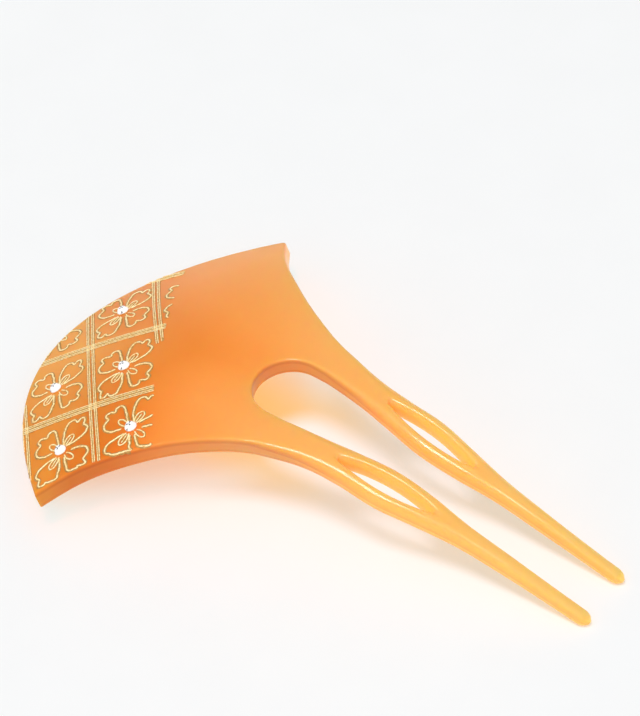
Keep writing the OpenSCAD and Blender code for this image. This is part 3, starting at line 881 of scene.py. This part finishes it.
def resin_colour_and_light(t, x, y, wall):
    """Deep amber on the head, paler on its far side, its near arm and the prongs: the resin's own tone
    and clouds, with painted sheen, painted light, and painted shade on the near side, the head's walls
    and every edge.
    """
    # the dome edge is a parabola, so this is the distance along the pin behind that edge
    behind = t.maths("MULTIPLY_ADD", t.maths("MULTIPLY", y, y), -HORN_BACK / HALF_W ** 2 / MM, x)
    cloud = t.noise(Scale=38.0, Detail=3.0, Roughness=0.5)
    clouded = t.maths("MULTIPLY_ADD", cloud, CLOUD_SHIFT, behind)
    # painted sheen makes the far side paler, and painted light the near arm
    far_sheen = t.maths("ADD", clouded, t.fade(y, FAR_SIDE_Y, 0.0, FAR_SHEEN_SHIFT))
    near_arm_light = t.fade(y, NEAR_ARM_Y, 0.0, NEAR_LIGHT_SHIFT)
    paler = t.maths("MULTIPLY_ADD", near_arm_light, t.fade(x, PAST_PRINT_X), far_sheen)
    colour = t.ramp(t.fade(paler, TONES_X), AMBER_TONES_AND_LIGHT)
    # painted shade darkens the near side of the head
    near_shade = t.maths("MULTIPLY", t.fade(y, NEAR_SIDE_Y), t.fade(x, NEAR_HEAD_X, 1.0, 0.0))
    colour = t.mixed(near_shade, colour, NEAR_SHADE_TINT, "MULTIPLY")
    # a painted shade line along every edge
    rim = t.node("ShaderNodeAttribute", {"attribute_name": "rim"}).outputs["Fac"]
    colour = t.mixed(rim, colour, RIM_SHADE_TINT, "MULTIPLY")
    # painted shade darkens the head's walls
    head_wall_shade = t.maths("MULTIPLY", wall, t.fade(x, HEAD_WALLS_X, 1.0, 0.0))
    return t.mixed(head_wall_shade, colour, WALL_SHADE_TINT, "MULTIPLY")


def wall_glow(t, x, y, wall):
    """Painted glow: light given out by the walls of the thin prongs and of the far horn."""
    glowing = t.maths("MAXIMUM", t.fade(x, PRONG_WALLS_X), t.fade(y, HORN_WALL_Y))
    return t.maths("MULTIPLY", t.maths("MULTIPLY", wall, glowing), WALL_GLOW)


def light_through(t, x, y):
    """Colour of the light that falls on the resin and goes through it to the floor."""
    away = t.maths("ABSOLUTE", y)
    inward = t.maths("MULTIPLY_ADD", x, SIDE_SLOPE, away)
    inner = t.fade(inward, SIDE_INWARD, kind="SMOOTHSTEP")
    inner = t.maths("MAXIMUM", inner, t.fade(x, NECK_X))
    middle_light = t.mixed(t.fade(away, BY_SLOT_Y), PRONG_LIGHT, SLOT_LIGHT)
    head_light = t.mixed(inner, SIDE_LIGHT, middle_light)
    return t.mixed(t.fade(x, PAST_SLOT_X), head_light, PRONG_LIGHT)


def amber_material():
    """Polished translucent resin: a little cloud in the colour, a very faint waviness."""
    t = Tree("amber_resin")
    x, y, _ = t.parts("Object")
    upward = t.maths("ABSOLUTE", t.parts("Normal")["Z"])
    wall = t.fade(upward, WALL_FACING, 1.0, 0.0)
    rough = t.fade(t.noise(Scale=120.0, Detail=4.0), (0, 1), 0.38, 0.46)
    # the base colour carries painted light and shade, and the emission a painted glow on the walls
    t.paint(Base_Color=resin_colour_and_light(t, x, y, wall), Emission_Strength=wall_glow(t, x, y, wall),
            Roughness=rough)
    t.bump(t.noise(Scale=70.0, Detail=2.0), 0.05, 0.0006)
    t.set(Subsurface_Weight=1.0, Subsurface_Radius=(1.0, 0.5, 0.14), Subsurface_Scale=0.006,
          IOR=1.5, Specular_IOR_Level=0.2, Coat_Weight=0.4, Coat_Roughness=0.1,
          Emission_Color=(1.0, 0.50, 0.11, 1))
    through = t.node("ShaderNodeBsdfTransparent", Color=light_through(t, x, y))
    shadow = t.node("ShaderNodeLightPath").outputs["Is Shadow Ray"]
    mix = t.node("ShaderNodeMixShader")
    for value, socket in zip((shadow, t.shader.outputs["BSDF"], through.outputs["BSDF"]), mix.inputs):
        t.put(value, socket)
    t.put(mix.outputs["Shader"], t.nodes["Material Output"].inputs["Surface"])
    return t.material


def grained(name, noise, tones, rough, bump):
    """A material whose colour, roughness and relief follow one fine grain."""
    t = Tree(name)
    grain = t.noise(**noise)
    t.paint(Base_Color=t.ramp(grain, tones), Roughness=t.fade(grain, (0, 1), *rough))
    t.bump(grain, *bump)
    return t


def gold_material():
    """Bright raised gold print whose colour follows its grain: the gold's own texture, with painted
    sparkle on the tops and painted shade in the hollows, and a faint emission as painted glow.
    """
    t = grained(
        "gold", {"Scale": 2600.0, "Detail": 5.0, "Roughness": 0.65},
        [(0.36, (0.74, 0.38, 0.07)), (0.47, (1.0, 0.79, 0.35)), (0.6, (1.0, 0.95, 0.66))],
        rough=(0.22, 0.5), bump=(0.35, 0.00005))
    # a faint emission as painted glow
    t.set(Metallic=0.1, Specular_IOR_Level=1.0, Emission_Color=(1.0, 0.78, 0.42, 1),
          Emission_Strength=0.13)
    return t.material


def gold_ground_and_shadow_material():
    """The duller, darker gold ground under the bright threads, whose edges beside them are painted
    shadow.
    """
    t = grained(
        "gold_ground_and_shadow", {"Scale": 1800.0, "Detail": 4.0},
        [(0.3, (0.42, 0.20, 0.035)), (0.5, (0.52, 0.27, 0.055)), (0.7, (0.68, 0.38, 0.10))],
        rough=(0.35, 0.6), bump=(0.2, 0.00003))
    t.set(Specular_IOR_Level=0.5)
    return t.material


def stone_material():
    """Cut glass painted white for the light that its foil throws back, with a faint emission as
    painted glow.
    """
    t = grained(
        "clear_stone", {"Scale": 900.0, "Detail": 3.0},
        [(0.3, (0.97, 0.98, 1.0)), (0.7, (1.0, 1.0, 1.0))],
        rough=(0.0, 0.05), bump=(0.05, 0.00002))
    # a faint emission as painted glow of the stone
    t.set(Transmission_Weight=0.06, IOR=1.6, Emission_Color=(1, 1, 1, 1), Emission_Strength=0.12)
    return t.material


def shade_material():
    """Facets of a stone with a painted dark reflection."""
    t = grained(
        "stone_shade", {"Scale": 900.0, "Detail": 3.0},
        [(0.3, (0.10, 0.10, 0.12)), (0.7, (0.28, 0.28, 0.30))],
        rough=(0.02, 0.1), bump=(0.05, 0.00002))
    t.set(IOR=1.6)
    return t.material


def foil_material():
    """Silvered back of a stone."""
    t = grained(
        "stone_foil", {"Scale": 1500.0, "Detail": 2.0},
        [(0.3, (0.85, 0.86, 0.88)), (0.7, (0.97, 0.97, 0.98))],
        rough=(0.05, 0.2), bump=(0.1, 0.00002))
    t.set(Metallic=1.0)
    return t.material


def floor_material():
    t = grained(
        "pale_floor", {"Scale": 60.0, "Detail": 3.0},
        [(0.3, (0.885, 0.895, 0.90)), (0.7, (0.895, 0.905, 0.91))],
        rough=(0.7, 0.85), bump=(0.02, 0.0002))
    t.set(Specular_IOR_Level=0.1)
    return t.material


AMBER, GOLD, GOLD_GROUND_AND_SHADOW = amber_material(), gold_material(), gold_ground_and_shadow_material()
STONE, FOIL, SHADE = stone_material(), foil_material(), shade_material()

make_body(AMBER)

bands = Relief(11)
for band_name in BANDS:
    add_band(bands, band_name)
bands.add_to_scene("gold_band_threads", "gold_bands")

flowers = Relief(23)
for flower_centre in FLOWERS:
    add_flower(flowers, flower_centre)
flowers.add_to_scene("gold_flower_threads", "gold_flowers")

for index, stone_centre in enumerate(FLOWERS[:STONES]):
    add_stone(f"stone_{index + 1}", stone_centre, STONE_TURN * index)


# Floor, light and camera

# half the floor's side, its number of cells and its depth under the pin
FLOOR_HALF, FLOOR_CELLS, FLOOR_DEPTH = 1.5, 8, 0.00002
# height part of a direction from the bright horizon to the surroundings over it, and how far
# a direction points to the dimmer side, from its start to its middle
HORIZON_RISE, DIM_SIDE = (0.0, 0.34), (0.45, 0.95)
# the camera's direction and roll in degrees, its aim and distance in metres, lens and sensor in mm
CAMERA_AZ, CAMERA_EL, CAMERA_ROLL = 39.04, 45.17, -5.42
CAMERA_AIM = Vector((-14.64, 20.18, 5.0)) * MM
CAMERA_FROM = 0.591
CAMERA_LENS, CAMERA_SENSOR = 171.3, 36


def make_floor():
    side = np.linspace(-FLOOR_HALF, FLOOR_HALF, FLOOR_CELLS + 1)
    points = [(x, y, -FLOOR_DEPTH) for y in side for x in side]
    row = FLOOR_CELLS + 1
    starts = [j * row + i for j in range(FLOOR_CELLS) for i in range(FLOOR_CELLS)]
    faces = [(start, start + 1, start + row + 1, start + row) for start in starts]
    obj = add_piece("studio_floor", points, faces, [floor_material()], None)


def make_light(name, location, size, energy):
    """A round white lamp that points to the middle of the pin's place."""
    data = bpy.data.lights.new(name, "AREA")
    data.shape, data.size, data.energy = "DISK", size, energy
    lamp = bpy.data.objects.new(name, data)
    lamp.location = location
    lamp.rotation_mode = "QUATERNION"
    lamp.rotation_quaternion = (-Vector(location)).to_track_quat("-Z", "Y")
    bpy.context.scene.collection.objects.link(lamp)


def make_world(bright, dim, dim_way, horizon):
    """Soft white surroundings with one dimmer side above a bright horizon."""
    world = bpy.data.worlds.new("studio")
    world.use_nodes = True
    bpy.context.scene.world = world
    nodes, links = world.node_tree.nodes, world.node_tree.links
    background = nodes["Background"]
    background.inputs["Color"].default_value = (1.0, 1.0, 1.0, 1)
    place = nodes.new("ShaderNodeTexCoord")
    facing = nodes.new("ShaderNodeVectorMath")
    facing.operation = "DOT_PRODUCT"
    facing.inputs[1].default_value = Vector(dim_way).normalized()
    links.new(place.outputs["Generated"], facing.inputs[0])
    parts = nodes.new("ShaderNodeSeparateXYZ")
    links.new(place.outputs["Generated"], parts.inputs[0])

    def fade(value, span, low):
        made = nodes.new("ShaderNodeMapRange")
        made.interpolation_type = "SMOOTHSTEP"
        for name, number in zip(("From Min", "From Max", "To Min"), (*span, low)):
            made.inputs[name].default_value = number
        links.new(value, made.inputs["Value"])
        return made

    around = fade(facing.outputs["Value"], DIM_SIDE, bright)
    around.inputs["To Max"].default_value = dim
    strength = fade(parts.outputs["Z"], HORIZON_RISE, horizon)
    links.new(around.outputs["Result"], strength.inputs["To Max"])
    links.new(strength.outputs["Result"], background.inputs["Strength"])


def make_camera():
    az, el, roll = (math.radians(v) for v in (CAMERA_AZ, CAMERA_EL, CAMERA_ROLL))
    back = Vector((math.sin(az) * math.cos(el), -math.cos(az) * math.cos(el), math.sin(el)))
    level = Vector((math.cos(az), math.sin(az), 0))
    over = back.cross(level)
    right = level * math.cos(roll) + over * math.sin(roll)
    up = over * math.cos(roll) - level * math.sin(roll)
    data = bpy.data.cameras.new("camera")
    data.sensor_fit, data.sensor_width, data.lens = "HORIZONTAL", CAMERA_SENSOR, CAMERA_LENS
    data.dof.use_dof = False
    camera = bpy.data.objects.new("camera", data)
    axes = Matrix((right, up, back)).transposed().to_4x4()
    camera.matrix_world = Matrix.Translation(CAMERA_AIM + back * CAMERA_FROM) @ axes
    bpy.context.scene.collection.objects.link(camera)
    bpy.context.scene.camera = camera


make_floor()
make_camera()
make_world(bright=0.46, dim=0.14, dim_way=(-0.78, 0.47, 0.42), horizon=0.56)
# the main lamp hangs almost overhead, so soft shadows lie close under the pin, and a small one
# high over the dome edge draws fine lines on the rims
make_light("overhead", (0.15, -0.85, 3.85), size=1.3, energy=105.0)
make_light("rim", (-1.75, -0.4, 3.5), size=0.3, energy=3.0)

view = bpy.context.scene.view_settings
view.view_transform = "Standard"
view.look = "None"
view.exposure = 0.0
